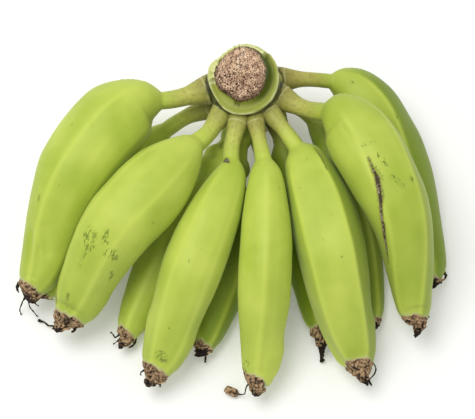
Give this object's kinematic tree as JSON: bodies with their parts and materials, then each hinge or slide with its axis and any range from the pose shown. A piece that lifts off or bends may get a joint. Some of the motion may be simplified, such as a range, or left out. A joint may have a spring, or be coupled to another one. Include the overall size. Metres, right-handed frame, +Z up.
{
  "type": "hand of green plantains",
  "caption": "Hand of green plantains: curved, ridged fruits on short stems, fanned in stacked rows from a cut length of stalk, with dry blossom ends. Food that lies on a surface.",
  "frame": {"origin": "middle of the hand's outline in plan, on the surface it lies on", "axes": "+Z up, away from the surface; the fruits' tips lie towards -Y and the stalk towards +Y; +X runs across the fan of fruits"},
  "size_m": [0.2718, 0.2192, 0.0897],
  "materials": {
    "peel": "satin",
    "stalk": "matte",
    "dry_blossom": "matte"
  },
  "bodies": {
    "root": {"crown": "stalk", "finger_upper_1": "peel", "finger_upper_2": "peel", "finger_upper_3": "peel", "finger_upper_4": "peel", "finger_upper_5": "peel", "finger_upper_6": "peel", "finger_lower_1": "peel", "finger_lower_2": "peel", "finger_lower_3": "peel", "finger_lower_4": "peel", "finger_lower_5": "peel", "finger_lower_6": "peel", "blossom_end_upper_1": "dry_blossom", "blossom_end_upper_2": "dry_blossom", "blossom_end_upper_3": "dry_blossom", "blossom_end_upper_4": "dry_blossom", "blossom_end_upper_5": "dry_blossom", "blossom_end_upper_6": "dry_blossom", "blossom_end_lower_1": "dry_blossom", "blossom_end_lower_2": "dry_blossom", "blossom_end_lower_3": "dry_blossom", "blossom_end_lower_4": "dry_blossom", "blossom_end_lower_5": "dry_blossom", "blossom_end_lower_6": "dry_blossom"}
  },
  "joints": []
}
